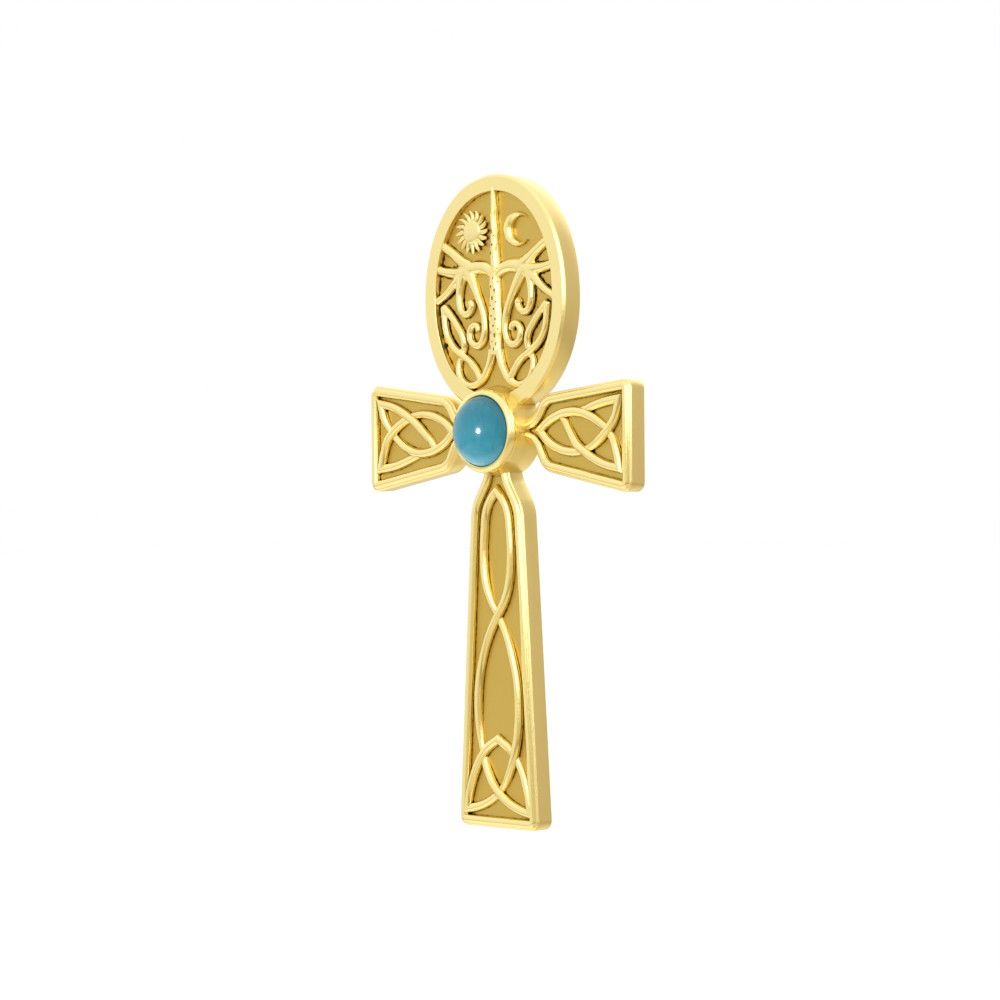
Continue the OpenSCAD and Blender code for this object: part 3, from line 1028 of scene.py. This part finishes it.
def camera():
    c = cameraFit
    crestY = bodyHigh.y - body["crest"] * mm
    right = Vector((cos(c["around"]), sin(c["around"]), 0))
    ahead = Vector((-sin(c["around"]), cos(c["around"]), 0))
    up = Vector((0, 0, 1))
    place = Vector((0, crestY, stoneUp + c["eye"])) - ahead * c["distance"]
    camRight = right * cos(c["roll"]) - up * sin(c["roll"])
    camUp = right * sin(c["roll"]) + up * cos(c["roll"])
    # Turned so that the fitted centre lands where the photo has it
    half = c["frame"] / 2
    aside, above = half - c["centre"][0], half - c["centre"][1]
    ahead = ahead * c["focalPixels"] + camRight * aside - camUp * above
    ahead.normalize()
    camUp = (camUp - ahead * camUp.dot(ahead)).normalized()
    camRight = ahead.cross(camUp)
    data = bpy.data.cameras.new("camera")
    data.sensor_width = 36
    data.lens = c["focalPixels"] * data.sensor_width / c["frame"]
    data.clip_start, data.clip_end = 0.01, 50
    obj = newObject("camera", data)
    turn = Matrix((camRight, camUp, -ahead)).transposed()
    obj.matrix_world = Matrix.Translation(place) @ turn.to_4x4()
    bpy.context.scene.camera = obj


camera()

# Floor, room and soft boxes
studio = {
    "floorDrop": 0.12, "floorSize": 4.0, "floorColour": (0.98, 0.98, 0.98, 1), "floorRough": 0.9,
    "boxDistance": 1.2, "horizon": 0.006, "cardTop": (0.58, 0.68),
}


def floor():
    bm = bmesh.new()
    bmesh.ops.create_grid(bm, x_segments=2, y_segments=2, size=studio["floorSize"])
    shifted(bm, bm.verts[:], 0, 0, bodyLow.z - studio["floorDrop"])
    material = bpy.data.materials.new("pale floor")
    material.use_nodes = True
    shader = material.node_tree.nodes["Principled BSDF"].inputs
    shader["Base Color"].default_value = studio["floorColour"]
    shader["Roughness"].default_value = studio["floorRough"]
    obj = newObject("floor", toMesh(bm, "floor"), material)
    obj.visible_glossy = False


# The room's brightness by direction round the pendant, in degrees from its front towards its right:
# above the horizon, and below it
roomAbove = [
    (-180, (0.95, 0.95, 0.95)), (-100, (1.0, 1.0, 1.0)), (58, (1.0, 1.0, 1.0)),
    (61, (0.35, 0.30, 0.20)), (72, (0.35, 0.30, 0.20)), (75, (1.0, 1.0, 1.0)), (111, (1.0, 1.0, 1.0)),
    (114, (0.28, 0.24, 0.16)), (121, (0.28, 0.24, 0.16)), (124, (0.64, 0.57, 0.42)),
    (165, (0.64, 0.57, 0.42)), (180, (0.95, 0.95, 0.95)),
]
roomBelow = [
    (-180, (0.8, 0.75, 0.62)), (-100, (0.95, 0.93, 0.86)), (-10, (0.95, 0.93, 0.86)),
    (15, (0.70, 0.63, 0.47)), (112, (0.72, 0.63, 0.45)), (114, (0.28, 0.24, 0.16)),
    (121, (0.28, 0.24, 0.16)), (124, (0.64, 0.56, 0.40)), (165, (0.64, 0.56, 0.40)),
    (180, (0.8, 0.75, 0.62)),
]
# How the room changes with height (-1 straight down to 1 up)
roomHeights = [
    (-1, 1.25), (-0.42, 1.2), (-0.39, 0.6), (-0.29, 0.6), (-0.26, 1.0), (0.4, 1.0), (1.0, 1.2),
]


def room():
    world = bpy.data.worlds.new("room")
    bpy.context.scene.world = world
    world.use_nodes = True
    nodeTree = world.node_tree
    where = node(nodeTree, "ShaderNodeTexCoord").outputs["Generated"]
    # Turned so that the seam of the round gradient is behind the pendant
    turn = mapped(nodeTree, where, Rotation=(0, 0, pi / 2))
    around = node(nodeTree, "ShaderNodeTexGradient", gradient_type="RADIAL")
    feed(nodeTree, around.inputs["Vector"], turn)
    height = separated(nodeTree, where)["Z"]
    above = ramp(nodeTree, roomAbove, -180, 180, around.outputs["Fac"])
    below = ramp(nodeTree, roomBelow, -180, 180, around.outputs["Fac"])
    # The tan card at the right back ends about 35 degrees up
    top = blend(nodeTree, spread(nodeTree, height, *studio["cardTop"]), above, (1.0, 1.0, 1.0, 1))
    line = studio["horizon"]
    whole = blend(nodeTree, spread(nodeTree, height, -line, line), below, top)
    gain = ramp(nodeTree, roomHeights, -1, 1, spread(nodeTree, height, -1, 1))
    lit = blend(nodeTree, 1.0, whole, gain, "MULTIPLY")
    # Plain white behind the pendant
    path = node(nodeTree, "ShaderNodeLightPath")
    seen = blend(nodeTree, path.outputs["Is Camera Ray"], lit, (1, 1, 1, 1))
    feed(nodeTree, nodeTree.nodes["Background"].inputs["Color"], seen)


# Soft boxes: direction round the pendant in degrees, width in degrees, lowest and highest edge in
# metres at their distance, and brightness on top of the room's
softBoxes = [
    ("keyBox", 35, 50, 0.008, 0.9, 1.9),
    ("sideBox", 92, 36, 0.008, 0.9, 1.6),
    ("leftBox", -95, 30, 0.25, 0.9, 0.6),
    ("backBox", 200, 60, 0.1, 0.9, 0.8),
]
# A small round lamp for the bright dot on the stone; lengths in metres
glint = {"around": -2, "up": 0.012, "across": 0.3, "bright": 26}


# Lets a lamp light only the given pieces
def lampOnly(obj, pieces, name):
    lit = bpy.data.collections.new(name)
    for piece in pieces:
        lit.objects.link(piece)
    obj.light_linking.receiver_collection = lit


def lamp(name, around, width, height, low, bright, shape="RECTANGLE"):
    data = bpy.data.lights.new(name, "AREA")
    data.shape = shape
    data.size = width
    area = pi * width * width / 4
    if shape == "RECTANGLE":
        data.size_y = height
        area = width * height
    data.energy = bright * pi * area
    obj = newObject(name, data)
    a, away = radians(around), studio["boxDistance"]
    obj.location = (away * sin(a), -away * cos(a), stoneUp + low + height / 2)
    obj.rotation_euler = (pi / 2, 0, a)
    obj.visible_camera = False
    return obj


def lights():
    meshes = [o for o in bpy.context.scene.objects if o.type == "MESH" and not o.hide_render]
    stones = [o for o in meshes if o.name == "cabochon"]
    metals = [o for o in meshes if o.name not in ("cabochon", "floor")]
    for name, around, width, low, high, bright in softBoxes:
        wide = 2 * studio["boxDistance"] * tan(radians(width / 2))
        lampOnly(lamp(name, around, wide, high - low, low, bright), metals, name + "Lit")
    across = glint["across"]
    low = glint["up"] - across / 2
    dot = lamp("glint", glint["around"], across, across, low, glint["bright"], "DISK")
    lampOnly(dot, stones, "glintLit")


floor()
room()
lights()
scene = bpy.context.scene
scene.view_settings.view_transform = "Standard"
scene.view_settings.look = "None"
print("stage lit")
